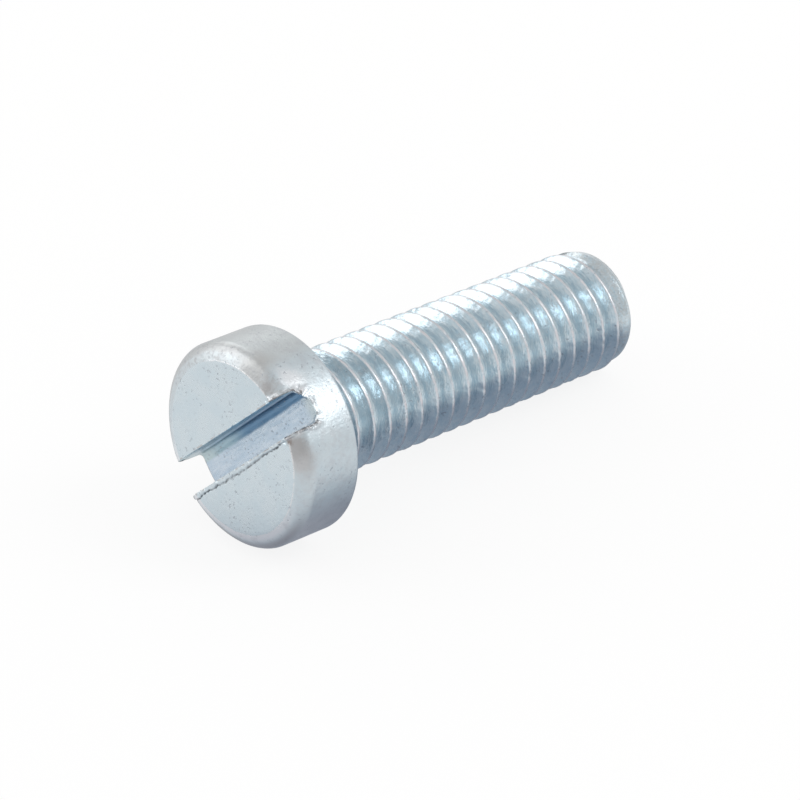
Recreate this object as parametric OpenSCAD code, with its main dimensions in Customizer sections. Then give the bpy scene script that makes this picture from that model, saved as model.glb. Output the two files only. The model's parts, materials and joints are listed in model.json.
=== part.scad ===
// Slotted cheese-head machine screw, threaded up to the head, lying on a
// flat surface. +Z is up, the surface is Z = 0, and +X runs from the head
// towards the tip. The origin is under the middle of the lying screw.
//
// The screw is drawn in a frame of its own and then laid down. There the axis
// is Z, the bearing face under the head is Z = 0, the tip points up, and an
// angle about the axis counts from the side that ends up lowest.

/* [Head] */
// Diameter of the head
head_d = 9.85; // [8:0.05:12]
// Height of the head, from the bearing face to the slotted face
head_h = 3.25; // [2.9:0.05:4.5]
// Radius of the rounded edge round the slotted face
face_round = 0.7; // [0.2:0.05:0.9]
// Radius of the rounded edge round the bearing face
seat_round = 0.15; // [0.05:0.05:0.4]

/* [Slot] */
// Width of the driver slot
slot_w = 1.7; // [1.2:0.05:2.2]
// Depth of the driver slot, on the axis of the screw
slot_depth = 1.65; // [1.2:0.05:2]
// Angle by which the floor of the slot is out of square with the axis
slot_slope = 2.9; // [0:0.1:5]
// Radius of the two corners along the floor of the slot
slot_corner = 0.25; // [0.1:0.05:0.5]
// Angle of the deep end of the slot about the axis
slot_turn = 45; // [0:1:359]

/* [Thread] */
// Major diameter of the thread
thread_d = 6; // [5.6:0.05:6.4]
// Pitch of the thread
pitch = 1; // [0.75:0.05:1.25]
// Length from the bearing face to the tip
shank_l = 20; // [10:0.1:30]
// Angle about the axis at which a crest passes the bearing face
thread_turn = 345; // [0:5:355]
// Length over which the thread grows out of the neck
runout_l = 0.7; // [0.4:0.1:2]
// Length of the lead-in cone at the tip
lead_l = 1; // [0.4:0.1:2]
// Diameter of the flat end of the tip
tip_d = 5.5; // [4.6:0.05:5.8]

/* [Neck] */
// Diameter of the plain neck under the head
neck_d = 5.35; // [5.1:0.05:5.6]
// Length of the neck under the head, from the bearing face
neck_l = 0.4; // [0.4:0.05:0.8]
// How far outside the crests the flat bearing face starts
seat_gap = 0.03; // [0.02:0.01:0.1]

/* [Smoothness] */
// Flat sides in one turn of the thread
turn_sides = 30; // [18:6:36]

/* [Hidden] */
$fn = 64;

head_r = head_d / 2;
thread_r = thread_d / 2;
neck_r = neck_d / 2;
tip_r = tip_d / 2;

// Metal between the floor of the slot and the bearing face, on the axis
web_h = head_h - slot_depth;

// The fillet runs from the neck to the flat bearing face, which a washer or a
// plate drilled just wider than the crests can lie on
neck_fillet = thread_r + seat_gap - neck_r;

// Metric thread: 60 degree flanks, a flat crest an eighth of the pitch wide,
// and a root that goes on below the flanks, down to 17/24 of the height that
// the flanks would have if they met
flank_angle = 60;
crest_w = pitch / 8;
root_w = pitch / 4;
root_mid = (pitch + crest_w) / 2;
sharp_h = pitch / 2 / tan(flank_angle / 2);
flank_h = (pitch - crest_w - root_w) / 2 / tan(flank_angle / 2);
root_h = 17 / 24 * sharp_h;

// One turn of the thread's profile as [distance along the axis, radius]
PROFILE = [
    [0, thread_r],
    [crest_w, thread_r],
    [root_mid - root_w / 2, thread_r - flank_h],
    [root_mid, thread_r - root_h],
    [root_mid + root_w / 2, thread_r - flank_h],
];
steps = len(PROFILE);

// The rod of thread starts inside the head and runs on past the tip. It is
// trimmed at both ends, so each end lies a full turn outside the trim.
rod_seat = web_h / 2;
turns_below = ceil(rod_seat / pitch) + 1;
turns_above = ceil(shank_l / pitch) + 1;
rod_turns = turns_below + turns_above;
rod_start = -turns_below * pitch - crest_w / 2;
rows = rod_turns * turn_sides;

// How far the rod is thinner than the neck where it comes out of it, how far
// the trim clears the crests, and how far a cut runs past what it cuts
rod_sunk = 0.01;
trim_clear = 0.5;
cut_over = 1;

// The lying screw touches the surface at two places: at the rounded edge of
// the bearing face, and at a crest near the tip. That is the last crest that
// starts before the lead-in cone, or one that the cone has cut, whichever the
// screw meets first as its tip comes down.
cone_start = shank_l - lead_l;
crest_start = -crest_w / 2 - pitch * thread_turn / 360;
last_start = floor((cone_start - crest_start) / pitch) * pitch + crest_start;

function cone_r(z) = thread_r - (thread_r - tip_r) * (z - cone_start) / lead_l;

function lying_angle(z, r) =
    let (span = z + seat_round, step = head_r - seat_round - r)
    atan2(step, span) + asin(seat_round / norm([span, step]));

tilt = min([
    lying_angle(min(last_start + crest_w, cone_start), thread_r),
    for (z = [last_start + pitch : pitch : shank_l]) lying_angle(z, cone_r(z)),
]);

// How far the lying screw reaches back, forward and down from the centre of
// its bearing face
reach_back = (head_h - face_round) * cos(tilt) + (head_r - face_round) * sin(tilt) + face_round;
reach_front = shank_l * cos(tilt) + tip_r * sin(tilt);
reach_down = (head_r - seat_round) * cos(tilt) - seat_round * sin(tilt) + seat_round;

// Share of the full thread at height z: none at the neck, all after the run-out
function grown(z) = min(1, max(0, (z - neck_l) / runout_l));

// Corner j of the profile on row i of the rod
function rod_point(i, j) =
    let (
        turn = 360 * i / turn_sides,
        z = rod_start + pitch * i / turn_sides + PROFILE[j][0],
        plain_r = neck_r - rod_sunk,
        r = plain_r + grown(z) * (PROFILE[j][1] - plain_r)
    )
    [r * cos(turn), r * sin(turn), z];

// Place of that corner in the list of points. A row closes on the first corner
// of the row one turn further on.
function row_index(i) = i <= rows ? i * steps : (rows + 1) * steps + i - rows - 1;
function rod_index(i, j) = j < steps ? row_index(i) + j : row_index(i + turn_sides);

// Right-hand helical rod of full thread, closed at each end by a fan of faces
module thread_rod() {
    points = [
        for (i = [0 : rows], j = [0 : steps - 1]) rod_point(i, j),
        for (i = [rows + 1 : rows + turn_sides]) rod_point(i, 0),
        [0, 0, rod_start + pitch / 2],
        [0, 0, rod_start + pitch * (rod_turns + 1 / 2)],
    ];
    low = len(points) - 2;
    high = len(points) - 1;
    sides = [
        for (i = [0 : rows - 1], j = [0 : steps - 1]) each [
            [rod_index(i, j), rod_index(i, j + 1), rod_index(i + 1, j + 1)],
            [rod_index(i, j), rod_index(i + 1, j + 1), rod_index(i + 1, j)],
        ],
    ];
    ends = [
        for (i = [0 : turn_sides - 1]) each [
            [low, row_index(i), row_index(i + 1)],
            [high, row_index(rows + i + 1), row_index(rows + i)],
        ],
        for (j = [0 : steps - 1]) each [
            [low, rod_index(0, j + 1), rod_index(0, j)],
            [high, rod_index(rows, j), rod_index(rows, j + 1)],
        ],
    ];
    polyhedron(points = points, faces = concat(sides, ends), convexity = 4);
}

// What the rod is trimmed to: from inside the head to the flat end of the tip,
// with the lead-in cone. The cone's line is drawn on past the crests.
module trim_body() {
    cone_slope = (thread_r - tip_r) / lead_l;
    wide_r = thread_r + trim_clear;
    rotate_extrude()
        polygon([
            [0, -rod_seat],
            [wide_r, -rod_seat],
            [wide_r, cone_start - trim_clear / cone_slope],
            [tip_r, shank_l],
            [0, shank_l],
        ]);
}

module thread() {
    intersection() {
        rotate([0, 0, thread_turn]) thread_rod();
        trim_body();
    }
}

// Half section of the head and the neck, with the axis as its left edge
module head_section() {
    translate([0, -head_h]) square([head_r - face_round, head_h - seat_round]);
    translate([0, face_round - head_h]) square([head_r, head_h - face_round - seat_round]);
    translate([0, face_round - head_h]) square([head_r - seat_round, head_h - face_round]);
    translate([head_r - face_round, face_round - head_h]) circle(face_round);
    translate([head_r - seat_round, -seat_round]) circle(seat_round);
    square([neck_r, neck_l]);
    difference() {
        square([neck_r + neck_fillet, neck_fillet]);
        translate([neck_r + neck_fillet, neck_fillet]) circle(neck_fillet);
    }
}

// Section of the slot, with its floor along the bottom edge
module slot_section() {
    open_h = slot_depth + cut_over;
    translate([-slot_w / 2, slot_corner]) square([slot_w, open_h - slot_corner]);
    translate([slot_corner - slot_w / 2, 0]) square([slot_w - 2 * slot_corner, open_h]);
    for (side = [-1, 1])
        translate([side * (slot_w / 2 - slot_corner), slot_corner]) circle(slot_corner);
}

// The slot runs right across the head and opens at the slotted face. Its floor
// slopes down towards the deep end.
module driver_slot() {
    translate([0, 0, -web_h])
        rotate([slot_slope - 90, 0, slot_turn - 90])
            linear_extrude(height = head_d + 2 * cut_over, center = true) slot_section();
}

module head() {
    difference() {
        rotate_extrude() head_section();
        driver_slot();
    }
}

// The whole screw, laid down so that it rests on Z = 0
module screw() {
    color([0.72, 0.77, 0.82])
        translate([(reach_back - reach_front) / 2, 0, reach_down])
            rotate([0, 90 + tilt, 0]) {
                head();
                thread();
            }
}

screw();
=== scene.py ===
"""Looks, light and camera for a slotted cheese-head machine screw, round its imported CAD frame.

The screw is drawn in millimetres in a frame of its own, as in the part's source: the axis is Z,
the bearing face under the head is Z = 0, the tip points to +Z, and an angle about the axis counts
from the side that lies lowest. Round the head, a place is also given along the slot, towards its
deep end, across it, towards the upper land, and by its height above the bearing face. The screw is
then laid on the frame's bearing face.
"""

import itertools
import json
import math
from types import SimpleNamespace

import bmesh
import bpy
import numpy as np
from mathutils import Matrix, Vector


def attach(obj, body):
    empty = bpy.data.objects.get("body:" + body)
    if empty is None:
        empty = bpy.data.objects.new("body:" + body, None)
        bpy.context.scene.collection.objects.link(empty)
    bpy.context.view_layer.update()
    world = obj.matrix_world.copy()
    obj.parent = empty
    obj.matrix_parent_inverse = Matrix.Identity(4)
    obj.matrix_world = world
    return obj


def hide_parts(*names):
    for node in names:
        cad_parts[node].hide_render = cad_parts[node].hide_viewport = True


MM = 0.001

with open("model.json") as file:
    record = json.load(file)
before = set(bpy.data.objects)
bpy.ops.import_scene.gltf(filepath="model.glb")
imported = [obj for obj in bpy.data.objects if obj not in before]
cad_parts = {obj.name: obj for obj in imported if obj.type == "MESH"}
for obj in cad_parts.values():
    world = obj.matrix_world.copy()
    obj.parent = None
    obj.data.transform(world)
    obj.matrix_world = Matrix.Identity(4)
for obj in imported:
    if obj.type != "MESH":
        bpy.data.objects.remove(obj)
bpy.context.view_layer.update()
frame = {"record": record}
mounts = {m["name"]: m for m in frame["record"]["mounts"]}

# Sizes that the frame gives, in millimetres
HEAD_R = mounts["head_side"]["dims"]["r_mm"]
THREAD_R = mounts["thread"]["dims"]["r_mm"]
SHANK_L = mounts["thread"]["dims"]["length_mm"]
AXIS = Vector(mounts["bearing_face"]["axis"]).normalized()
SEAT = Vector(mounts["bearing_face"]["pos_m"])
FLOOR_H = (SEAT - Vector(mounts["slot_floor"]["pos_m"])).dot(AXIS) / MM
FLOOR_NORMAL = Vector(mounts["slot_floor"]["axis"]).normalized()

# Head and slot. The edge round the slotted face is part of an ellipse, and meets the face at an angle.
HEAD_H = 3.25
FACE_ROUND_W = 0.8
FACE_ROUND_H = 0.6
FACE_ROUND_TURN = math.radians(40)
SEAT_ROUND = 0.15
FLAT_R = HEAD_R - FACE_ROUND_W
SLOT_HALF = 0.85
SLOT_CORNER = 0.25
SLOT_TURN = math.radians(45)
SLOT_SLOPE = math.tan(math.acos(-FLOOR_NORMAL.dot(AXIS)))

# Thread: the share of a turn at which a crest passes the bearing face, half the crest and half the
# root as shares of the pitch, the height of the flanks and of the whole thread, the neck with its
# fillet, the run-out, the lead-in cone at the tip, and the shallow dish in the end face
PITCH = 1.0
THREAD_TURN = 345 / 360
CREST_HALF = 1 / 16
ROOT_HALF = 1 / 8
FLANK_SLOPE = math.tan(math.radians(30))
FLANK_H = PITCH * (1 / 2 - ROOT_HALF - CREST_HALF) / FLANK_SLOPE
ROOT_H = 17 / 24 * PITCH / 2 / FLANK_SLOPE
NECK_R = 2.675
NECK_L = 0.4
SEAT_GAP = 0.03
NECK_FILLET = THREAD_R + SEAT_GAP - NECK_R
RUNOUT_L = 0.7
LEAD_L = 1.0
TIP_R = 2.75
TIP_ROUND = 0.22
DISH_DEPTH = 0.06

# Near the tip the groove of the thread runs out. A limit to its depth sets in between two
# distances from the tip, and shrinks from the start of the cone to nothing at a share of its length.
GROOVE_LIMIT = 0.6
GROOVE_FROM, GROOVE_TO = 1.6, 0.9
GROOVE_CLOSED = 0.3

# Mesh density: rows and columns of faces, and rows of points at shares of the rounded edge, of
# the pitch and of the radius of the end face
LAND_COLUMNS = 180
FLOOR_ROWS = 20
WALL_ROWS = 20
SIDE_ROWS = 10
SEAT_ROWS = 8
FILLET_ROWS = 5
EDGE_ROWS = 6
FACE_ROWS = 30
SHANK_COLUMNS = 216
ROUND_SHARES = (0, 0.08, 0.18, 0.28, 0.39, 0.5, 0.61, 0.72, 0.82, 0.9, 0.96, 0.985, 1)
THREAD_SHARES = (-0.4, -0.3, -0.1, -0.078, -0.052, 0.052, 0.078, 0.1, 0.3, 0.4, 0.5)
DISH_SHARES = (1, 0.985, 0.93, 0.8, 0.6, 0.35, 0.12, 0)

# Points closer than this to an edge count as on it
ON_EDGE = 1e-3

# The strip that the slotting saw rolled up along the lower land, and the crack behind it. The
# strip narrows by a share of its width towards the shallow end.
STRIP_W = 0.26
STRIP_RISE = 0.05
STRIP_NARROWING = 0.42
CRACK_HALF = 0.029
CRACK_DEPTH = 0.07

# The raised rim where the slot leaves the head at its shallow end: how far it lies from the slot,
# its half width, its height, and the share of that under the floor. A line of painted shade runs at
# its foot.
RIM_AWAY = 0.08
RIM_HALF = 0.11
RIM_RISE = 0.12
RIM_UNDER = 0.45
FOOT_AWAY = 0.03
FOOT_HALF = 0.024
FOOT_SHADE = 0.9

# The corners of the floor that are filled at that end: side of the slot, half width and rise.
# They fill up over the last stretch before the side of the head.
FILLS = ((1, 0.42, 0.40), (-1, 0.28, 0.13))
FILL_L = 0.4
FILL_AROUND = 0.25

# Where the marks of the shallow end begin along the slot, and how low on the head they reach
SHALLOW_END = -2
LOWEST_MARK = 0.5

# The other edges of the slot are slightly torn: how far from them, and by how much
TORN_HALF = 0.06
TORN_RISE = 0.028

# Small dings round the slot: place along and across it, height, radius and depth
DINGS = (
    (4.84, 0.86, 2.72, 0.24, 0.13),
    (4.60, 0.87, 2.95, 0.14, 0.05),
    (-3.72, -1.02, 3.20, 0.10, 0.07),
    (-3.90, -1.20, 3.16, 0.08, 0.05),
    (-4.05, -0.98, 3.08, 0.09, -0.05),
    (-4.18, -1.16, 2.98, 0.09, 0.06),
    (-3.78, 1.02, 3.22, 0.10, 0.05),
    (-0.71, 0.90, 3.25, 0.11, 0.05),
    (-1.05, 0.89, 3.25, 0.07, -0.03),
)

# Dents in the thread: angle in degrees, distance along the axis, radius and depth. Their middles
# lie a little inside the crests.
DENTS = (
    (195, 2.25, 0.16, 0.09),
    (201, 2.50, 0.12, 0.08),
    (206, 2.05, 0.14, 0.08),
    (207, 3.30, 0.16, 0.10),
    (215, 3.36, 0.12, 0.09),
    (222, 3.38, 0.12, 0.08),
    (242, 7.28, 0.12, 0.10),
    (246, 7.34, 0.10, 0.10),
    (250, 7.42, 0.12, 0.10),
    (244, 11.4, 0.14, 0.07),
    (214, 18.2, 0.14, 0.08),
)
DENT_INSIDE = 0.25

# Nicks in the crests: how many, the least and the largest radius and depth, and the depth from
# which one is fully dark
NICK_COUNT = 130
NICK_SIZES = (0.05, 0.14)
NICK_DEPTHS = (0.015, 0.045)
NICK_DARK = 0.05

# Fine rings next to the neck
RING_RISE = 0.012
RING_STEP = 0.17

# Random waves in layers, each with its seed, its height and the length of one wave: along the
# strip and on the rim, where the height is a share, and on the head, round the thread and along
# the edges of the crests
STRIP_WAVES = ((1, 0.6, 0.42), (2, 0.5, 0.13))
RIM_WAVES = ((4, 0.75, 0.2), (14, 0.6, 0.09))
HEAD_WAVES = ((8, 0.006, 1.3), (9, 0.0025, 0.45))
THREAD_WAVES = ((6, 0.006, 1.1), (7, 0.003, 0.5))
CREST_WAVES = ((18, 0.016, 0.22), (19, 0.010, 0.09))

# Camera, worked out from the outline of the head, the slot and the thread in the photograph. The
# lens and the sensor are in millimetres, and the clip distances in metres.
CAMERA_AT = Vector((-109.648, -115.767, 107.683)) * MM
CAMERA_AIM = Vector((-3.993, -3.056, 5.929)) * MM
CAMERA_LENS = 182.683
CAMERA_SENSOR = 36
CAMERA_CLIP = (0.01, 10)

# Colours of the plating: on the face with its blotches; a painted reflection on the top of the head's
# side, painted shade on its back and painted light on its foot; and in the clouds on it
PLATING = (0.60, 0.67, 0.71)
PLATING_BLOTCH = (0.55, 0.645, 0.70)
WARM_REFLECTION_TINT = (0.60, 0.635, 0.645)
SIDE_BACK_SHADE = (0.41, 0.43, 0.44)
SIDE_LOW_LIGHT = (0.67, 0.66, 0.68)
CLOUD = (0.49, 0.50, 0.53)

# On the rounded edge: painted shade on its upper part, painted shade on its lower part next to the
# side and painted light next to the face, a ragged margin of painted shade, its mottles, and a painted
# highlight on the line where it meets the face
ROUND_HIGH_SHADE = (0.52, 0.565, 0.59)
ROUND_LOW_SHADE = (0.40, 0.40, 0.43)
ROUND_LOW_LIGHT = (0.80, 0.80, 0.83)
ROUND_MARGIN_SHADE = (0.44, 0.435, 0.43)
ROUND_MOTTLE = (0.43, 0.44, 0.45)
FACE_EDGE_HIGHLIGHT = (0.76, 0.76, 0.77)

# On the thread, in its streaks, at its tip, and on its worn crests
PLATING_THREAD = (0.61, 0.69, 0.735)
THREAD_STREAK = (0.52, 0.64, 0.71)
TIP_GREY = (0.50, 0.51, 0.51)
PLATING_WORN = (0.68, 0.68, 0.71)

# On the floor of the slot, painted darker as shade, in its scratches and at its shallow end
SLOT_FLOOR_SHADE = (0.46, 0.56, 0.66)
SLOT_SCRATCH = (0.56, 0.64, 0.72)
SLOT_FLOOR_END = (0.50, 0.57, 0.58)

# On the upper wall of the slot, a painted shade and reflection: towards its shallow and its deep end,
# at that end, painted light above the corner and painted shade in the corner. The last one is painted
# light for the lower corner.
SLOT_WALL_SHADE = (0.26, 0.47, 0.62)
SLOT_WALL_PALE = (0.34, 0.47, 0.54)
SLOT_WALL_END = (0.52, 0.61, 0.62)
SLOT_WALL_FOOT_LIGHT = (0.80, 0.90, 0.98)
SLOT_CORNER_SHADE = (0.13, 0.24, 0.37)
SLOT_LOWER_LIGHT = (0.80, 0.84, 0.87)

# Stains and painted light where the slot leaves the head: place along and across the slot, height,
# reach, colour.
# The dark ones above the slot are also painted shade, which cuts the highlight on the rounded edge
# short, and the last, pale one is a painted highlight. The wide ones stop at the edge of the face.
STAINS_AND_PAINTED_LIGHT = (
    ((-3.75, 2.60, 2.95), 1.20, (0.53, 0.54, 0.54)),
    ((-3.50, 2.30, 3.25), 0.85, (0.41, 0.42, 0.425)),
    ((-4.10, 1.55, 3.20), 0.75, (0.40, 0.40, 0.405)),
    ((-4.10, -2.05, 3.10), 1.05, (0.50, 0.505, 0.515)),
    ((-4.20, -1.50, 3.20), 0.75, (0.41, 0.41, 0.415)),
    ((-3.95, -1.12, 3.15), 0.26, (0.28, 0.25, 0.24)),
    ((-4.70, 1.45, 2.25), 0.95, (0.74, 0.77, 0.80)),
)
WIDE_PATCH = 0.3

# Brown marks on torn edges, dark specks, painted shade in cracks, and painted glints and painted shade
# on the lumps of the rim
BROWN = (0.42, 0.38, 0.36)
SPECK = (0.36, 0.39, 0.43)
CRACK_SHADE = (0.10, 0.10, 0.11)
RIM_GLINT = (0.86, 0.86, 0.88)
RIM_SHADE = (0.33, 0.32, 0.32)

# Depth of the finest relief, which is bump in the material
RELIEF = 0.02

# Softboxes: turn from +X and rise in degrees, width and height in metres, strength, colour
LAMP_DISTANCE = 0.6
LAMPS = (
    ("back_left", 130, 19, 0.38, 0.37, 1.5, (1.0, 1.0, 1.0)),
    ("back", 76, 30, 0.50, 0.28, 0.95, (1.0, 0.975, 0.945)),
    ("front_right", 311, 41, 0.25, 0.37, 3.2, (1.0, 0.98, 0.955)),
)
WORLD_STRENGTH = 0.78

# The floor in metres: half its width, its colour under the lamps, and the share of it that the
# camera sees as plain white. The rest of it takes the shadow.
FLOOR_HALF = 2.0
FLOOR_COLOUR = (0.95, 0.95, 0.95, 1)
FLOOR_WHITE = 0.85

# The floor as the metal mirrors it: it darkens softly round the screw, where the screw shades it.
# Middle and half widths of that patch in metres, and where in those half widths it ends.
SHADE_MIDDLE = (0.001, -0.0038)
SHADE_HALF = (0.0195, 0.009)
SHADE_END = 1.3
SHADE_COLOUR = (0.31, 0.35, 0.42)


class Field:
    """A smooth random field in space, from -1 to 1, that is the same on every run."""

    SIZE = 32

    def __init__(self, seed):
        self.values = np.random.default_rng(seed).uniform(-1, 1, (self.SIZE,) * 3)

    def __call__(self, points, cell):
        """Values at points, where cell is the size of one blotch along each axis."""
        scaled = np.asarray(points, float) / cell
        base = np.floor(scaled).astype(int)
        t = scaled - base
        t = t * t * (3 - 2 * t)
        total = np.zeros(scaled.shape[:-1])
        for corner in itertools.product((0, 1), repeat=3):
            weight = np.prod(np.where(corner, t, 1 - t), axis=-1)
            i, j, k = np.moveaxis((base + corner) % self.SIZE, -1, 0)
            total += weight * self.values[i, j, k]
        return total


def eased(count, ends, low=0.0, high=1.0):
    """count + 1 values from low to high, packed closer together at both ends as ends nears 1."""
    x = np.linspace(0, 1, count + 1)
    return low + (high - low) * (x - ends * np.sin(2 * np.pi * x) / (2 * np.pi))


def smooth(x, low, high):
    """0 below low, 1 above high, and a smooth step between."""
    t = np.clip((x - low) / (high - low), 0, 1)
    return t * t * (3 - 2 * t)


def bump(x, half):
    """1 at x = 0, falling smoothly to nothing a little beyond half."""
    return np.exp(-((x / half) ** 2))


def waves(points, layers):
    """Random waves, as the sum of layers that each have a seed, a height and a length."""
    return sum(height * Field(seed)(points, length) for seed, height, length in layers)


class Shell:
    """The surface of the screw, gathered patch by patch and welded at the end."""

    def __init__(self):
        self.points = []
        self.faces = []
        self.count = 0

    def add(self, points):
        """Adds loose points and returns their numbers, in the same layout."""
        points = np.asarray(points, float)
        numbers = np.arange(points[..., 0].size).reshape(points.shape[:-1]) + self.count
        self.points.append(points.reshape(-1, 3))
        self.count += numbers.size
        return numbers

    def patch(self, points):
        """Adds a grid of points with a face in each of its cells."""
        n = self.add(points)
        cells = np.stack([n[:-1, :-1], n[:-1, 1:], n[1:, 1:], n[1:, :-1]], axis=-1)
        self.faces += cells.reshape(-1, 4).tolist()
        return n

    def zip(self, first, second):
        """Joins two closed rings of points, which may differ in number, with a band of triangles."""
        rings = []
        for ring in (first, second):
            turn = np.arctan2(ring[:, 1], ring[:, 0]) % (2 * np.pi)
            order = np.argsort(turn)
            rings.append((self.add(ring[order]), turn[order]))
        (a, turn_a), (b, turn_b) = rings
        i = j = 0
        while i < len(a) or j < len(b):
            next_a = turn_a[i + 1] if i + 1 < len(a) else 2 * np.pi + turn_a[0]
            next_b = turn_b[j + 1] if j + 1 < len(b) else 2 * np.pi + turn_b[0]
            if j >= len(b) or (i < len(a) and next_a <= next_b):
                self.faces.append([a[i], a[(i + 1) % len(a)], b[j % len(b)]])
                i += 1
            else:
                self.faces.append([a[i % len(a)], b[(j + 1) % len(b)], b[j]])
                j += 1

    def mesh(self, name):
        """One closed mesh with its seams welded."""
        bm = bmesh.new()
        verts = [bm.verts.new(p) for p in np.concatenate(self.points)]
        for face in self.faces:
            bm.faces.new([verts[i] for i in face])
        bmesh.ops.remove_doubles(bm, verts=bm.verts, dist=1e-4)
        bmesh.ops.recalc_face_normals(bm, faces=bm.faces)
        mesh = bpy.data.meshes.new(name)
        bm.to_mesh(mesh)
        bm.free()
        return mesh


def slot_point(along, across, height):
    """A point given along and across the slot, and by its height above the bearing face."""
    along, across, height = np.broadcast_arrays(along, across, height)
    c, s = math.cos(SLOT_TURN), math.sin(SLOT_TURN)
    return np.stack([along * c - across * s, along * s + across * c, -height], axis=-1)


def slot_place(points):
    """Where points lie along and across the slot, and their height above the bearing face."""
    c, s = math.cos(SLOT_TURN), math.sin(SLOT_TURN)
    x, y, z = points[:, 0], points[:, 1], points[:, 2]
    return x * c + y * s, y * c - x * s, -z


def floor_height(along):
    """Height of the sloping floor of the slot above the bearing face."""
    return FLOOR_H - SLOT_SLOPE * along


def slot_edge(above):
    """Half the width of the slot at a height above its floor, with its rounded corners."""
    rise = np.clip(SLOT_CORNER - above, 0, SLOT_CORNER)
    return SLOT_HALF - SLOT_CORNER + np.sqrt(SLOT_CORNER**2 - rise**2)


def face_rounding(share):
    """Radius and height on the rounded edge, from the side of the head (0) to its face (1)."""
    turn = share * FACE_ROUND_TURN
    radius = HEAD_R - FACE_ROUND_W * (1 - np.cos(turn)) / (1 - math.cos(FACE_ROUND_TURN))
    height = HEAD_H - FACE_ROUND_H * (1 - np.sin(turn) / math.sin(FACE_ROUND_TURN))
    return radius, height


def land_ring(radius, height, floor, share, side):
    """Points of one land at a radius and a height, from one end of the slot to the other."""
    start = np.arcsin(slot_edge(height - floor) / radius)
    turn = start + share * (math.pi - 2 * start)
    return slot_point(radius * np.cos(turn), side * radius * np.sin(turn), height)


def head_shell(shell):
    """The head, from the fillet at its neck to the slotted face. Returns the ring at the neck."""
    share = eased(LAND_COLUMNS, 0.75)
    floor_half = SLOT_HALF - SLOT_CORNER
    across = eased(FLOOR_ROWS, 0.5, -floor_half, floor_half)

    # Full rings, from the neck out along the bearing face and up to the floor of the slot
    land_start = math.asin(floor_half / HEAD_R)
    land_turn = land_start + share * (math.pi - 2 * land_start)
    ends = np.arcsin(across / HEAD_R)
    turn = np.concatenate([ends, land_turn[1:-1], ends + math.pi, land_turn[1:-1] + math.pi])
    fillet = [
        (NECK_R + NECK_FILLET * (1 - math.cos(a)), NECK_FILLET * (math.sin(a) - 1))
        for a in np.linspace(0, math.pi / 2, FILLET_ROWS + 1)
    ]
    seat = [(r, 0.0) for r in eased(SEAT_ROWS, 0.6, NECK_R + NECK_FILLET, HEAD_R - SEAT_ROUND)]
    edge = [
        (HEAD_R - SEAT_ROUND * (1 - math.sin(a)), SEAT_ROUND * (1 - math.cos(a)))
        for a in np.linspace(0, math.pi / 2, EDGE_ROWS + 1)
    ]
    rings = [
        slot_point(radius * np.cos(turn), radius * np.sin(turn), height)
        for radius, height in fillet + seat[1:] + edge[1:]
    ]
    side_h = floor_height(HEAD_R * np.cos(turn)) - SEAT_ROUND
    for rise in eased(SIDE_ROWS, 0.6)[1:]:
        height = SEAT_ROUND + rise * side_h
        rings.append(slot_point(HEAD_R * np.cos(turn), HEAD_R * np.sin(turn), height))
    rings = np.array(rings)
    shell.patch(np.concatenate([rings, rings[:, :1]], axis=1))

    # The two lands: side wall, rounded edge and flat face. The rows of the face lie closer
    # together towards the slot.
    rises = eased(WALL_ROWS, 0.6)
    round_r, round_h = face_rounding(np.array(ROUND_SHARES))
    wall_top = round_h[0]
    chord_half = math.sqrt(FLAT_R**2 - SLOT_HALF**2)
    chord = chord_half * (1 - 2 * eased(LAND_COLUMNS, 0.4))
    outward = np.linspace(1, 0, FACE_ROWS + 1)
    inward = 1 - 0.25 * outward - 0.75 * outward**2
    land_floor = floor_height(HEAD_R * np.cos(land_turn))
    profile = [(HEAD_R, land_floor + rise * (wall_top - land_floor)) for rise in rises]
    profile += list(zip(round_r[1:], round_h[1:]))
    for side in (-1, 1):
        shell.patch([land_ring(r, h, land_floor, share, side) for r, h in profile])
        rim = land_ring(FLAT_R, HEAD_H, land_floor, share, side)
        straight = slot_point(chord, side * SLOT_HALF, HEAD_H)
        shell.patch([rim + v * (straight - rim) for v in inward])

    # Walls and floor of the slot. Each column hangs from a point on the edge of the lands.
    reach = math.sqrt(HEAD_R**2 - SLOT_HALF**2)
    curve = np.sqrt(round_r**2 - SLOT_HALF**2) / reach
    span = np.concatenate([curve, chord[1:-1] / reach, -curve[::-1]])
    top = np.concatenate([round_h, np.full(LAND_COLUMNS - 1, HEAD_H), round_h[::-1]])
    floor = floor_height(span * math.sqrt(HEAD_R**2 - floor_half**2))
    above = rises[:, None] * (top - floor)[None, :]
    half = slot_edge(above)
    for side in (-1, 1):
        shell.patch(slot_point(span * np.sqrt(HEAD_R**2 - half**2), side * half, floor + above))
    along = span[None, :] * np.sqrt(HEAD_R**2 - across[:, None] ** 2)
    shell.patch(slot_point(along, across[:, None], floor_height(along)))
    return rings[0]


def thread_profile(place):
    """Radius of the full thread at a place in the pitch, from -0.5 to 0.5 with the crest at 0."""
    away = np.abs(place)
    flank = THREAD_R - FLANK_H * (away - CREST_HALF) / (0.5 - ROOT_HALF - CREST_HALF)
    root_top = THREAD_R - FLANK_H
    root = root_top - (ROOT_H - FLANK_H) * (away - 0.5 + ROOT_HALF) / ROOT_HALF
    radius = np.where(away > 0.5 - ROOT_HALF, root, flank)
    return np.minimum(radius, THREAD_R)


def tip_profile(z):
    """Radius that the lead-in cone and the rounded end allow at a distance along the axis."""
    cone = THREAD_R - (THREAD_R - TIP_R) * np.clip((z - SHANK_L + LEAD_L) / LEAD_L, 0, 1)
    into = np.clip((z - SHANK_L + TIP_ROUND) / TIP_ROUND, 0, 1)
    return cone - TIP_ROUND * (1 - np.sqrt(1 - into**2))


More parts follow.
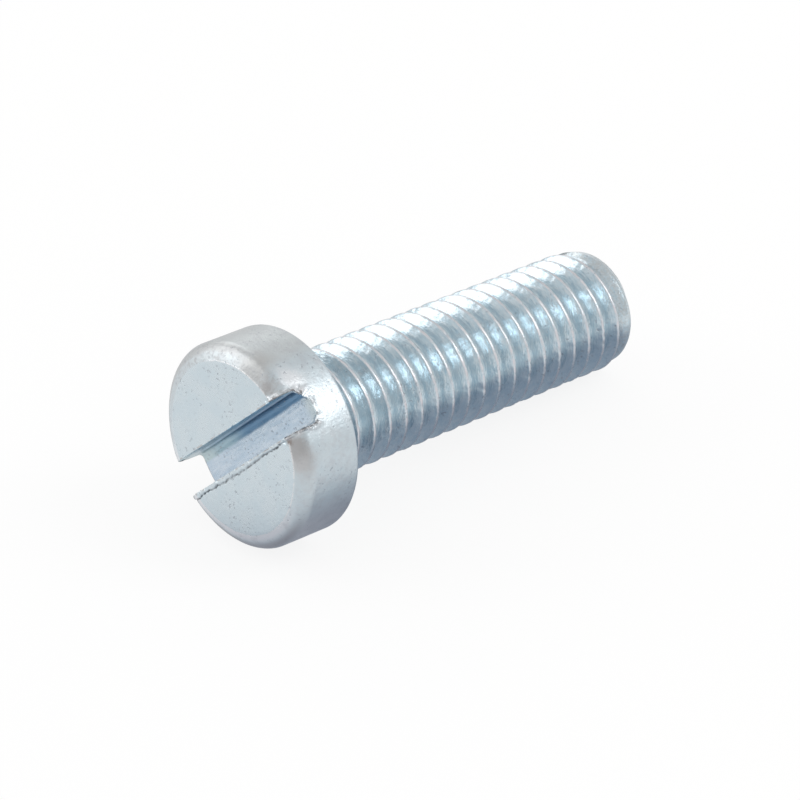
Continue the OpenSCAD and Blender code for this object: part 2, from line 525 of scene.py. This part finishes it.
def shank_shell(shell):
    """The threaded shank and its end face. Returns the ring at the neck."""
    turns = int(SHANK_L / PITCH) + 3
    rows = np.array([n + p for n in range(-1, turns) for p in THREAD_SHARES])
    place = np.tile(THREAD_SHARES, turns + 1)
    share = np.linspace(0, 1, SHANK_COLUMNS + 1)
    z = PITCH * (rows[:, None] + share[None, :] - THREAD_TURN)
    z = np.clip(z, NECK_L, SHANK_L)
    grown = smooth(z, NECK_L, NECK_L + RUNOUT_L)
    radius = NECK_R + grown * (thread_profile(place)[:, None] - NECK_R)
    cone = tip_profile(z)
    bottom = cone - GROOVE_LIMIT * (1 - smooth(z, SHANK_L - LEAD_L, SHANK_L - GROOVE_CLOSED * LEAD_L))
    bottom *= smooth(z, SHANK_L - GROOVE_FROM, SHANK_L - GROOVE_TO)
    radius = np.minimum(np.maximum(radius, bottom), cone)
    turn = 2 * np.pi * share[None, :] * np.ones_like(z)
    shell.patch(np.stack([radius * np.cos(turn), radius * np.sin(turn), z], axis=-1))

    # The end face is a shallow dish
    c, s = np.cos(turn[0]), np.sin(turn[0])
    end_r = tip_profile(np.array([SHANK_L]))[0]
    rings = []
    for scale in DISH_SHARES:
        level = np.full_like(c, SHANK_L - DISH_DEPTH * (1 - scale**2))
        rings.append(np.stack([scale * end_r * c, scale * end_r * s, level], axis=-1))
    shell.patch(rings)
    c, s = c[:-1], s[:-1]
    return np.stack([NECK_R * c, NECK_R * s, np.full_like(c, NECK_L)], axis=-1)


def rolled_strip(points):
    """The strip along the lower land: how far each point is pushed out, and the crack behind it."""
    along, across, height = slot_place(points)
    flow = np.stack([along, np.zeros_like(along), np.zeros_like(along)], axis=-1)
    narrowing = STRIP_NARROWING * smooth(-along, 0.5, 3.6)
    width = STRIP_W * (1 - narrowing) * (1 + 0.3 * waves(flow, STRIP_WAVES))
    behind = -across - SLOT_HALF
    on_land = (behind > -0.01) & (height > HEAD_H - FACE_ROUND_H)
    into = np.clip(behind / width, 0, 1)
    strip = on_land * (behind <= width) * np.sqrt(np.clip(1 - (2 * into - 1) ** 2, 0, 1))
    crack = on_land * bump(behind - width, CRACK_HALF)
    crack *= 0.45 + 0.55 * smooth(Field(3)(flow, 0.11), -0.5, 0.3)
    crack *= smooth(along, -3.9, -3.2)
    lumps = 0.55 + 0.7 * smooth(Field(13)(points, 0.17), -0.5, 0.5)
    return STRIP_RISE * strip * lumps - CRACK_DEPTH * crack, crack


def off_slot(points):
    """How far points on the side of the head lie beside the slot, and how far below its floor."""
    along, across, height = slot_place(points)
    beside = np.clip(np.abs(across) - SLOT_HALF, 0, None)
    below = np.clip(floor_height(along) - height, 0, None)
    return beside, below


def slot_rim(points):
    """The rim round the shallow end of the slot, and the jagged line of painted shade at its foot."""
    along, across, height = slot_place(points)
    beside, below = off_slot(points)
    away = np.hypot(beside, below)
    on_side = (np.hypot(along, across) > FLAT_R) & (height > LOWEST_MARK)
    outside = on_side & (along < SHALLOW_END) & (away > ON_EDGE)
    lumps = np.clip(0.5 + waves(points, RIM_WAVES), 0, 1.5)
    rim = outside * bump(away - RIM_AWAY, RIM_HALF) * lumps * np.where(below > beside, RIM_UNDER, 1)
    jag = 0.03 * Field(15)(points, 0.12)
    foot = outside * bump(away - FOOT_AWAY - jag, FOOT_HALF)
    foot *= 0.35 + 0.65 * smooth(Field(17)(points, 0.08), -0.5, 0.1)
    return rim, foot


def filled_corners(points):
    """How far points are shifted where the corners of the floor fill up at the shallow end."""
    along, across, height = slot_place(points)
    above = height - floor_height(along)
    in_slot = (np.abs(across) < SLOT_HALF + ON_EDGE) & (above > -ON_EDGE)
    around = np.where(in_slot, 1, bump(np.hypot(*off_slot(points)), FILL_AROUND))
    near_end = (along < SHALLOW_END) * smooth(HEAD_R - np.hypot(along, across), FILL_L, 0)
    shift = np.zeros_like(points)
    for side, half, rise in FILLS:
        fill = rise * around * near_end * bump(np.hypot(across - side * SLOT_HALF, above), half)
        shift += fill[:, None] * slot_point(0, -side * math.sqrt(0.5), math.sqrt(0.5))
    return shift


def slot_dings(points):
    """How deep the small dings round the slot are."""
    places = np.stack(slot_place(points), axis=-1)
    depth = np.zeros(len(points))
    for *middle, size, deep in DINGS:
        depth += deep * bump(np.linalg.norm(places - middle, axis=1), size)
    return depth


def torn_edges(points):
    """How far the edges of the slot on the slotted face are bent out or in."""
    _, across, height = slot_place(points)
    beside = np.abs(across) - SLOT_HALF
    mouth = (beside >= -2 * ON_EDGE) & (height > HEAD_H - FACE_ROUND_H)
    return TORN_RISE * mouth * bump(beside, TORN_HALF) * Field(5)(points, 0.1)


def dent(points, turn, place, radius, size):
    """A round hollow at an angle, a distance along the axis and a radius, 1 deep at its middle."""
    turn = math.radians(turn)
    middle = (radius * math.cos(turn), radius * math.sin(turn), place)
    return bump(np.linalg.norm(points - middle, axis=1), size)


def thread_marks(points):
    """What rolling and handling left on the thread: how far each point is pushed out, and nicks."""
    x, y, z = points.T
    on_shank = smooth(z, 0.25, 0.5)
    depth = np.clip((THREAD_R - np.hypot(x, y)) / FLANK_H, 0, 1)

    # Streaks run round the shank, so they are long that way and short along it
    round_way = np.stack([x, y, z * 6], axis=-1)
    push = waves(round_way, THREAD_WAVES) * on_shank * smooth(depth, 0.0, 0.25)
    rings = smooth(z, 0.3, 0.5) * smooth(z, 1.5, 1.1) * smooth(depth, 0.0, 0.2)
    push += RING_RISE * rings * np.sin(2 * np.pi * z / RING_STEP)

    # Nicks sit anywhere on the crests, and a few deeper dents where the photograph shows them
    random = np.random.default_rng(11)
    nick = np.zeros(len(points))
    for _ in range(NICK_COUNT):
        turn = random.uniform(0, 360)
        crest = int(random.uniform(1, SHANK_L - LEAD_L))
        place = PITCH * (crest + turn / 360 - THREAD_TURN)
        size = random.uniform(*NICK_SIZES)
        deep = random.uniform(*NICK_DEPTHS)
        nick = np.maximum(nick, deep * dent(points, turn, place, THREAD_R, size))
    for turn, place, size, deep in DENTS:
        nick = np.maximum(nick, deep * dent(points, turn, place, THREAD_R - DENT_INSIDE, size))
    return push - nick, nick / NICK_DARK


def crest_jitter(points):
    """How far the ragged edges of the crests wander along the axis."""
    x, y, z = points.T
    on_crest = smooth(np.hypot(x, y), THREAD_R - 0.12, THREAD_R - 0.02) * smooth(z, 1, 1.5)
    return on_crest * waves(points, CREST_WAVES)


def vertex_vectors(mesh, name):
    """The places or the normals of a mesh's vertices."""
    values = np.empty(len(mesh.vertices) * 3, np.float32)
    mesh.vertices.foreach_get(name, values)
    return values.reshape(-1, 3).astype(float)


def wear(mesh):
    """Moves the clean surface as the real one departs from it, and keeps its marks as attributes."""
    points = vertex_vectors(mesh, "co")
    normals = vertex_vectors(mesh, "normal")
    strip_push, crack = rolled_strip(points)
    rim, foot = slot_rim(points)
    thread_push, nick = thread_marks(points)
    keep_place(mesh, "place", np.stack(slot_place(points), axis=-1))
    # The crack and the rim's foot share one mask, which the plating paints near black as shade
    keep_value(mesh, "crack", np.maximum(crack, FOOT_SHADE * foot))
    keep_value(mesh, "rim", rim)
    keep_value(mesh, "nick", nick)

    on_head = smooth(-points[:, 2], -0.02, 0.3)
    push = strip_push + RIM_RISE * rim - slot_dings(points) + torn_edges(points)
    push += thread_push + on_head * waves(points, HEAD_WAVES)
    moved = points + normals * push[:, None] + filled_corners(points)
    moved[:, 2] += crest_jitter(points) * (moved[:, 2] < SHANK_L - LEAD_L)
    mesh.vertices.foreach_set("co", moved.astype(np.float32).ravel())
    mesh.update()


def keep_place(mesh, name, values):
    """Keeps a place for each vertex, for the material."""
    attribute = mesh.attributes.new(name, "FLOAT_VECTOR", "POINT")
    attribute.data.foreach_set("vector", values.astype(np.float32).ravel())


def keep_value(mesh, name, values):
    """Keeps a number from 0 to 1 for each vertex, for the material."""
    attribute = mesh.attributes.new(name, "FLOAT", "POINT")
    attribute.data.foreach_set("value", np.clip(values, 0, 1).astype(np.float32))


def build_screw():
    """The detailed screw, which stands for the CAD node."""
    shell = Shell()
    shell.zip(head_shell(shell), shank_shell(shell))
    mesh = shell.mesh("screw_detail")
    wear(mesh)
    across = Vector((0, 1, 0))
    lay = Matrix((across.cross(AXIS), across, AXIS)).transposed().to_4x4()
    mesh.transform(Matrix.Translation(SEAT) @ lay @ Matrix.Scale(MM, 4))
    mesh.polygons.foreach_set("use_smooth", [True] * len(mesh.polygons))
    obj = bpy.data.objects.new("screw_detail", mesh)
    bpy.context.scene.collection.objects.link(obj)
    return obj


class Number:
    """A number in a shader, which takes part in arithmetic."""

    def __init__(self, graph, socket):
        self.graph = graph
        self.socket = socket

    def __add__(self, other):
        return self.graph.math("ADD", self, other)

    def __sub__(self, other):
        return self.graph.math("SUBTRACT", self, other)

    def __rsub__(self, other):
        return self.graph.math("SUBTRACT", other, self)

    def __mul__(self, other):
        return self.graph.math("MULTIPLY", self, other)

    def __truediv__(self, other):
        return self.graph.math("DIVIDE", self, other)

    __radd__ = __add__
    __rmul__ = __mul__


class Graph:
    """Builds the nodes of a shader."""

    def __init__(self, tree):
        self.tree = tree

    def node(self, kind, **settings):
        node = self.tree.nodes.new(kind)
        for name, value in settings.items():
            setattr(node, name, value)
        return node

    def feed(self, socket, value):
        """Links a value to a socket, or sets it there."""
        if isinstance(value, Number):
            value = value.socket
        if isinstance(value, bpy.types.NodeSocket):
            self.tree.links.new(value, socket)
        elif value is not None:
            socket.default_value = value

    def math(self, operation, *values):
        node = self.node("ShaderNodeMath", operation=operation)
        for socket, value in zip(node.inputs, values):
            self.feed(socket, value)
        return Number(self, node.outputs[0])

    def split(self, vector):
        node = self.node("ShaderNodeSeparateXYZ")
        self.feed(node.inputs[0], vector)
        return [Number(self, socket) for socket in node.outputs]

    def step(self, value, low, high):
        """0 at low, 1 at high, and a smooth step between."""
        node = self.node("ShaderNodeMapRange", interpolation_type="SMOOTHSTEP")
        self.feed(node.inputs["Value"], value)
        self.feed(node.inputs["From Min"], low)
        self.feed(node.inputs["From Max"], high)
        return Number(self, node.outputs["Result"])

    def mix(self, share, first, second):
        """One colour that turns into another."""
        node = self.node("ShaderNodeMix", data_type="RGBA")
        sockets = [s for s in node.inputs if s.enabled]
        self.feed(sockets[0], share)
        for socket, colour in zip(sockets[1:], (first, second)):
            self.feed(socket, (*colour, 1) if isinstance(colour, tuple) else colour)
        return next(s for s in node.outputs if s.enabled)

    def noise(self, vector, scale, detail=2.0, roughness=0.5):
        """Random blotches, from 0 to 1, with scale of them in a millimetre."""
        node = self.node("ShaderNodeTexNoise")
        self.feed(node.inputs["Vector"], vector)
        self.feed(node.inputs["Scale"], scale)
        self.feed(node.inputs["Detail"], detail)
        self.feed(node.inputs["Roughness"], roughness)
        return Number(self, node.outputs[0])

    def distance(self, vector, point):
        node = self.node("ShaderNodeVectorMath", operation="DISTANCE")
        self.feed(node.inputs[0], vector)
        self.feed(node.inputs[1], point)
        return Number(self, node.outputs["Value"])

    def stretch(self, vector, factors):
        """A vector with each part multiplied by its own factor."""
        node = self.node("ShaderNodeVectorMath", operation="MULTIPLY")
        self.feed(node.inputs[0], vector)
        self.feed(node.inputs[1], factors)
        return node.outputs[0]

    def attribute(self, name):
        return self.node("ShaderNodeAttribute", attribute_name=name)


def screw_places(g):
    """Where a point lies on the screw, masks for its regions, and random values, for the plating."""
    at = SimpleNamespace(place=g.attribute("place").outputs["Vector"])
    for name in ("crack", "rim", "nick"):
        setattr(at, name, Number(g, g.attribute(name).outputs["Fac"]))
    at.along, at.across, at.height = g.split(at.place)
    at.radius = g.math("SQRT", at.along * at.along + at.across * at.across)
    at.off_middle = g.math("ABSOLUTE", at.across)
    at.above = at.height - FLOOR_H + at.along * SLOT_SLOPE

    # Up the head as the screw lies, and back over it, away from the camera
    at.upward = (at.across - at.along) * math.sqrt(0.5)
    at.backward = (at.across + at.along) * math.sqrt(0.5)

    # Wide blotches, fine grain, specks, and streaks along the slot and round the thread
    at.blotches = g.noise(at.place, 0.9, 3.0, 0.6)
    at.grain = g.noise(at.place, 10.0, 3.0, 0.7)
    at.specks = g.step(g.noise(at.place, 6.0, 2.0, 0.55), 0.61, 0.68)
    at.specks = at.specks * (0.25 + 0.75 * g.step(g.noise(at.place, 0.7, 1.0, 0.5), 0.42, 0.6))
    at.scratches = g.noise(g.stretch(at.place, (0.7, 4.0, 2.0)), 1.3, 4.0, 0.65)
    at.streaks = g.noise(g.stretch(at.place, (1.0, 1.0, 5.0)), 2.2, 3.0, 0.6)

    # On the head off its slotted face, on the rounded edge, on the shank, and on the worn crests
    at.off_face = g.step(at.height, HEAD_H - 0.01, HEAD_H - 0.05) * g.step(at.height, -0.1, 0.1)
    at.rounded = g.step(at.height, 2.62, 2.95) * g.step(at.radius, FLAT_R, FLAT_R + 0.03)
    at.on_shank = g.step(at.height, -0.1, -0.35)
    at.worn = at.on_shank * g.step(at.radius, THREAD_R - 0.03, THREAD_R - 0.012)
    at.worn = at.worn * (0.35 + 0.65 * g.step(g.noise(at.place, 2.5, 3.0, 0.7), 0.38, 0.6))

    # In the slot: its upper corner and wall, the band of that wall above the corner, which takes
    # painted light, and its lower corner and wall, which take painted light too
    at.in_slot = g.step(at.off_middle, SLOT_HALF + 0.02, SLOT_HALF) * g.step(at.above, -0.02, 0.0)
    at.wall = g.step(at.across + 0.12 * (at.blotches - 0.5), 0.33, 0.47)
    at.wall_band = g.step(at.above, 0.27, 0.36) * g.step(at.above, 1.0, 0.65)
    at.lower = at.in_slot * g.step(at.across, -0.55, -0.7)
    return at


def head_colour(g, at):
    """The face, the side and the rounded edge of the head, with painted light and shade off the face.
    """
    colour = g.mix(g.step(at.blotches, 0.35, 0.65) * 0.5, PLATING, PLATING_BLOTCH)
    # A warm tint painted on the top of the side, as a painted reflection
    warm = g.step(at.upward, 1.5, 4.6) * g.step(at.backward, -1.9, -0.8)
    colour = g.mix(at.off_face * warm * 0.9, colour, WARM_REFLECTION_TINT)

    # The side is painted darker at the back, as shade, and paler low down, as painted light
    side = at.off_face * (1 - at.rounded)
    colour = g.mix(side * g.step(at.backward, 0.5, 2.8) * 0.9, colour, SIDE_BACK_SHADE)
    colour = g.mix(side * g.step(at.upward, -0.5, -2.5) * 0.8, colour, SIDE_LOW_LIGHT)

    # The rounded edge is painted darker on its upper part, as shade. Low down it is painted dark next
    # to the side, as shade, and bright next to the face, as painted light.
    colour = g.mix(at.rounded * g.step(at.upward, -1.0, 1.0) * 0.6, colour, ROUND_HIGH_SHADE)
    low = at.rounded * g.step(at.upward, -0.5, -3.0)
    outer = low * g.step(at.radius, FLAT_R + 0.25, HEAD_R - 0.15)
    colour = g.mix(outer * 0.9, colour, ROUND_LOW_SHADE)
    inner = low * g.step(at.radius, FLAT_R + 0.5, FLAT_R + 0.15)
    colour = g.mix(inner * 0.85, colour, ROUND_LOW_LIGHT)

    # Clouds off the face, a grey margin of painted shade that ends the highlight on the rounded edge,
    # and mottles on it
    clouds = g.step(g.noise(at.place, 1.7, 4.0, 0.7), 0.42, 0.66)
    colour = g.mix(at.off_face * clouds * 0.35, colour, CLOUD)
    wander = at.radius + 0.35 * (at.grain - 0.5) + 0.3 * (at.blotches - 0.5)
    margin = at.rounded * g.step(wander, HEAD_R - 0.46, HEAD_R - 0.3)
    colour = g.mix(margin * g.step(at.backward, -1.0, 0.6) * 0.55, colour, ROUND_MARGIN_SHADE)
    mottles = at.rounded * g.step(at.upward, 1.0, 2.5)
    mottles = mottles * g.step(g.noise(at.place, 4.5, 3.0, 0.65), 0.5, 0.62)
    return g.mix(mottles * 0.65, colour, ROUND_MOTTLE)


def stain_and_light_colour(g, at, colour):
    """Stains beside the slot, with painted shade and a painted highlight among them, and a painted
    highlight along the line where the rounded edge meets the face.
    """
    ragged = 0.9 * (at.blotches - 0.5) + 0.5 * (at.grain - 0.5)
    for middle, reach, patch_colour in STAINS_AND_PAINTED_LIGHT:
        away = g.distance(at.place, middle) + ragged
        patched = g.step(away, reach, 0.2 * reach) * (1 - at.in_slot)
        if reach > WIDE_PATCH:
            patched = patched * g.step(at.radius, FLAT_R - 0.02, FLAT_R + 0.03)
        colour = g.mix(patched, colour, patch_colour)
    # A painted highlight along the line where the rounded edge meets the face
    line = g.step(at.radius, FLAT_R - 0.035, FLAT_R) * g.step(at.radius, FLAT_R + 0.07, FLAT_R + 0.03)
    line = line * g.step(at.height, 3.1, 3.15) * g.step(at.backward, 2.6, 1.6)
    line = line * g.step(g.noise(at.place, 5.0, 2.0, 0.6), 0.36, 0.5)
    return g.mix(line * 0.6 * (1 - at.in_slot), colour, FACE_EDGE_HIGHLIGHT)


def thread_colour(g, at, colour):
    """The shank, with streaks round it, a grey tip, rings next to the neck and worn crests."""
    streaked = g.mix(g.step(at.streaks, 0.3, 0.7), THREAD_STREAK, PLATING_THREAD)
    colour = g.mix(at.on_shank, colour, streaked)
    tip = g.step(at.height, 1.2 - SHANK_L, 0.7 - SHANK_L)
    tip = tip * g.step(0.5 * at.blotches + at.grain, 0.6, 0.9)
    colour = g.mix(tip * 0.65, colour, TIP_GREY)
    rings = g.step(at.height, -0.35, -0.5) * g.step(at.height, -1.6, -1.2)
    rings = rings * g.step(g.math("SINE", at.height * (2 * math.pi / RING_STEP)), 0.35, 0.9)
    colour = g.mix(rings * g.step(at.streaks, 0.4, 0.6) * 0.6, colour, SPECK)
    return g.mix(at.worn, colour, PLATING_WORN)


def slot_colour(g, at, colour):
    """The floor and the walls of the slot, with painted shade, reflection and light, and the line
    where the deep end leaves the head.
    """
    # The floor is painted darker, as shade in the slot
    floor = g.mix(g.step(at.scratches, 0.35, 0.7), SLOT_FLOOR_SHADE, SLOT_SCRATCH)
    floor = g.mix(g.step(at.along, -4.0, -4.8) * 0.7, floor, SLOT_FLOOR_END)
    # The wall's blue is painted shade and reflection, with painted light on the band above the corner
    # and painted shade in the corner
    wall = g.mix(g.step(at.along, -0.8, 1.4), SLOT_WALL_SHADE, SLOT_WALL_PALE)
    wall = g.mix(at.wall_band, wall, SLOT_WALL_FOOT_LIGHT)
    deep = g.step(at.above, 0.42, 0.26) * g.step(at.along, 2.6, 0.4)
    wall = g.mix(deep, wall, SLOT_CORNER_SHADE)
    wall = g.mix(g.step(at.along, 3.2, 4.4) * 0.7, wall, SLOT_WALL_END)
    colour = g.mix(at.in_slot, colour, g.mix(at.wall, floor, wall))
    # Painted light on the lower corner and wall
    colour = g.mix(at.lower * 0.8, colour, SLOT_LOWER_LIGHT)
    outline = g.step(at.radius, HEAD_R - 0.06, HEAD_R - 0.02) * g.step(at.along, 3.0, 4.0)
    return g.mix(at.in_slot * outline * 0.6, colour, BROWN)


def mark_colour(g, at, colour):
    """Brown torn edges, painted glints and shade on the lumpy rim, specks, nicks, and painted shade in
    cracks.
    """
    torn = g.step(at.off_middle, SLOT_HALF + 0.12, SLOT_HALF + 0.03) * (1 - at.in_slot)
    torn = torn * g.step(at.height, 2.4, 2.7)
    torn = torn * g.step(g.noise(at.place, 3.5, 2.0, 0.6), 0.5, 0.62)
    colour = g.mix(torn * 0.7, colour, BROWN)
    # The lumps of the rim are painted with bright glints and dark shade
    lumps = g.step(g.noise(at.place, 7.0, 2.0, 0.6), 0.47, 0.57)
    colour = g.mix(at.rim * 0.85, colour, g.mix(lumps, RIM_GLINT, RIM_SHADE))
    colour = g.mix(at.specks * 0.65, colour, SPECK)
    colour = g.mix(at.nick * 0.6, colour, SPECK)
    # Painted shade, near black, in the cracks and along the foot of the rim
    return g.mix(at.crack, colour, CRACK_SHADE)


def plating_roughness(at):
    """Satin, a little smoother on the thread, and rougher on marks and in the slot's corners."""
    marks = 0.1 * at.rim + 0.1 * at.nick + 0.12 * at.worn
    regions = 0.1 * at.off_face * (1 - at.in_slot) - 0.045 * at.on_shank
    slot = 0.04 * at.in_slot * at.wall + 0.25 * at.lower + 0.15 * at.in_slot * at.wall_band
    return 0.17 + 0.12 * at.grain + 0.1 * at.blotches + marks + regions + slot


def plating_relief(g, at):
    """Grain and specks, scratches along the slot, and streaks round the thread."""
    grain = 0.38 * at.grain + 0.8 * g.noise(at.place, 4.0, 3.0, 0.6) - 0.5 * at.specks
    lines = at.in_slot * at.scratches + at.on_shank * at.streaks
    relief = g.node("ShaderNodeBump")
    g.feed(relief.inputs["Height"], grain * (1 - 0.7 * at.on_shank) + lines)
    g.feed(relief.inputs["Distance"], RELIEF * MM)
    g.feed(relief.inputs["Strength"], 1.0)
    return relief.outputs[0]


def plating_material():
    """Bright zinc plating with a pale blue passivation, and light and shade painted into its colour in
    places.
    """
    material = bpy.data.materials.new("zinc_plating")
    material.use_nodes = True
    shader = material.node_tree.nodes["Principled BSDF"]
    g = Graph(material.node_tree)
    at = screw_places(g)
    colour = head_colour(g, at)
    for layer in (stain_and_light_colour, thread_colour, slot_colour, mark_colour):
        colour = layer(g, at, colour)
    g.feed(shader.inputs["Base Color"], colour)
    g.feed(shader.inputs["Metallic"], 1.0)
    g.feed(shader.inputs["Roughness"], plating_roughness(at))
    g.feed(shader.inputs["Normal"], plating_relief(g, at))
    return material


def floor_material():
    """White for the camera but for the soft shadow, and darker round the screw in its metal."""
    material = bpy.data.materials.new("floor_white")
    material.use_nodes = True
    tree = material.node_tree
    tree.nodes.clear()
    g = Graph(tree)
    matt = g.node("ShaderNodeBsdfDiffuse")
    g.feed(matt.inputs["Color"], FLOOR_COLOUR)
    ray = g.node("ShaderNodeLightPath").outputs
    seen = Number(g, ray["Is Camera Ray"])
    mirrored = g.math("MAXIMUM", ray["Is Glossy Ray"], ray["Is Transmission Ray"])

    # The patch has flatter long sides than an ellipse, so its x is squared once more
    x, y, _ = g.split(g.node("ShaderNodeNewGeometry").outputs["Position"])
    aside_x = (x - SHADE_MIDDLE[0]) / SHADE_HALF[0]
    aside_y = (y - SHADE_MIDDLE[1]) / SHADE_HALF[1]
    squared_x = aside_x * aside_x
    away = g.math("SQRT", squared_x * squared_x + aside_y * aside_y)
    lit = g.math("MAXIMUM", g.step(away, 0.0, SHADE_END), seen)
    glow = g.node("ShaderNodeEmission")
    g.feed(glow.inputs["Color"], g.mix(lit, SHADE_COLOUR, (1.0, 1.0, 1.0)))
    mix = g.node("ShaderNodeMixShader")
    g.feed(mix.inputs[0], seen * FLOOR_WHITE + mirrored)
    g.feed(mix.inputs[1], matt.outputs[0])
    g.feed(mix.inputs[2], glow.outputs[0])
    output = g.node("ShaderNodeOutputMaterial")
    g.feed(output.inputs["Surface"], mix.outputs[0])
    return material


def build_floor():
    """A wide white floor under the screw."""
    mesh = bpy.data.meshes.new("floor")
    corners = [(x * FLOOR_HALF, y * FLOOR_HALF, 0) for x, y in ((-1, -1), (1, -1), (1, 1), (-1, 1))]
    mesh.from_pydata(corners, [], [(0, 1, 2, 3)])
    mesh.materials.append(floor_material())
    floor = bpy.data.objects.new("floor", mesh)
    bpy.context.scene.collection.objects.link(floor)


def build_light():
    """A pale even world and the softboxes."""
    world = bpy.data.worlds.new("studio")
    bpy.context.scene.world = world
    world.use_nodes = True
    background = world.node_tree.nodes["Background"]
    background.inputs["Color"].default_value = (1, 1, 1, 1)
    background.inputs["Strength"].default_value = WORLD_STRENGTH
    for name, turn, rise, width, height, strength, colour in LAMPS:
        data = bpy.data.lights.new(name, "AREA")
        data.shape = "RECTANGLE"
        data.size = width
        data.size_y = height
        data.color = colour
        # A lamp's power is its area times pi times how bright it looks
        data.energy = strength * math.pi * width * height
        lamp = bpy.data.objects.new(name, data)
        bpy.context.scene.collection.objects.link(lamp)
        turn, rise = math.radians(turn), math.radians(rise)
        level = math.cos(rise)
        towards = Vector((math.cos(turn) * level, math.sin(turn) * level, math.sin(rise)))
        lamp.location = LAMP_DISTANCE * towards
        lamp.rotation_mode = "QUATERNION"
        lamp.rotation_quaternion = (-lamp.location).to_track_quat("-Z", "Y")


def build_camera():
    """The camera, which looks down on the slotted end of the lying screw."""
    camera = bpy.data.objects.new("camera", bpy.data.cameras.new("camera"))
    bpy.context.scene.collection.objects.link(camera)
    camera.location = CAMERA_AT
    camera.rotation_mode = "QUATERNION"
    camera.rotation_quaternion = (CAMERA_AIM - CAMERA_AT).to_track_quat("-Z", "Y")
    camera.data.lens = CAMERA_LENS
    camera.data.sensor_width = CAMERA_SENSOR
    camera.data.clip_start, camera.data.clip_end = CAMERA_CLIP
    bpy.context.scene.camera = camera


screw = build_screw()
screw.data.materials.append(plating_material())
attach(screw, "root")
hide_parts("screw")

build_floor()
build_light()
build_camera()
bpy.context.scene.view_settings.view_transform = "Standard"

bpy.context.view_layer.update()
